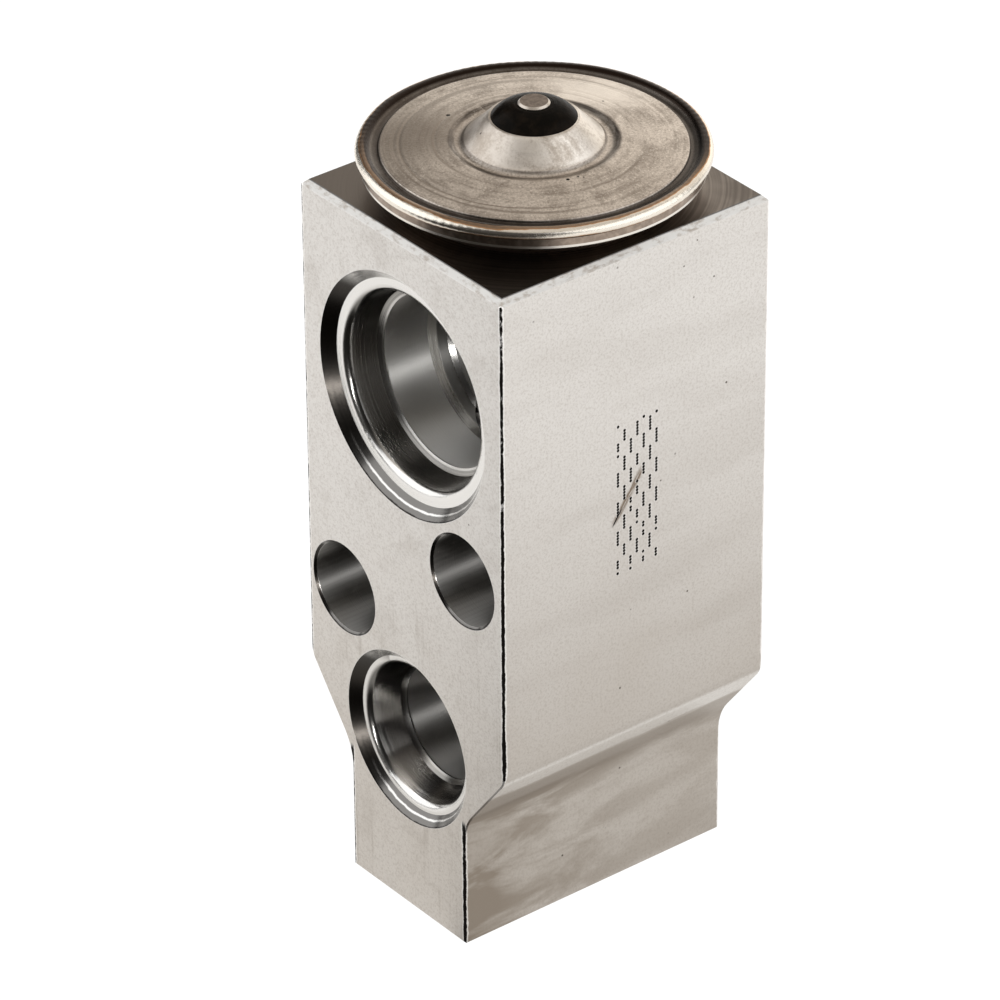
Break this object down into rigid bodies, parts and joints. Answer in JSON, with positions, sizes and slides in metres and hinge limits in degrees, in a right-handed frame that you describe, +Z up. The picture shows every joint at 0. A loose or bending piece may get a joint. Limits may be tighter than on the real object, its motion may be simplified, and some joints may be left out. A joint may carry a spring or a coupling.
{
  "type": "thermostatic expansion valve",
  "caption": "Block-type refrigerant expansion valve: drilled foot-shaped aluminium block, stepped seal ports on two faces, diagonal bolt holes and a round welded diaphragm head.",
  "frame": {"origin": "middle of the foot's underside, on the axis of the head, rod, ball and adjusting screw", "axes": "+Z up from the foot to the head; -Y out of the front port face, +Y out of the back port face; +X across the port face"},
  "size_m": [0.027, 0.027, 0.0673],
  "materials": {
    "block_aluminium": "fine satin grain of an extruded and machined block",
    "cover_steel": "turned stainless sheet with bronze heat tint at the weld",
    "dish_steel": "dark heat-tinted stainless",
    "diaphragm_steel": "thin bright sheet",
    "pin_steel": "ground",
    "dark_sealant": "near-black, slightly glossy",
    "seal_rubber": "smooth",
    "rod_aluminium": "turned",
    "spring_steel": "bright wire and strip",
    "screw_brass": "turned"
  },
  "bodies": {
    "block": {"valve_body": "block_aluminium", "lower_cover": "dish_steel", "diaphragm": "diaphragm_steel", "upper_cover": "cover_steel", "charge_pin": "pin_steel", "pin_sealant": "dark_sealant", "head_seal": "seal_rubber", "rod_seal": "seal_rubber", "rod_seal_retainer": "spring_steel", "superheat_spring": "spring_steel"},
    "valve_train": {"diaphragm_pad": "rod_aluminium", "sensing_rod": "rod_aluminium", "push_pin": "pin_steel", "valve_ball": "pin_steel", "ball_carrier": "screw_brass", "damper_spring": "spring_steel"},
    "screw_carriage": {"screw_seal": "seal_rubber"},
    "superheat_screw": {"adjusting_screw": "screw_brass"}
  },
  "joints": [
    {"name": "valve_stroke", "type": "slide", "parent": "block", "child": "valve_train", "axis": [0, 0, -1], "range_m": [0, 0.0005], "stiffness_N_per_m": 2000, "springref_m": -0.001, "deforming": ["superheat_spring"]},
    {"name": "screw_travel", "type": "slide", "parent": "block", "child": "screw_carriage", "axis": [0, 0, 1], "range_m": [-0.0009, 0.001], "deforming": ["superheat_spring"]},
    {"name": "superheat_adjustment", "type": "hinge", "parent": "screw_carriage", "child": "superheat_screw", "pos_m": [0, 0, 0.004], "axis": [0, 0, 1], "range_deg": [-326.6, 362.1]}
  ],
  "couplings": [
    {"joint": "superheat_adjustment", "follows": "screw_travel", "rad_per_m": 6283.2}
  ]
}
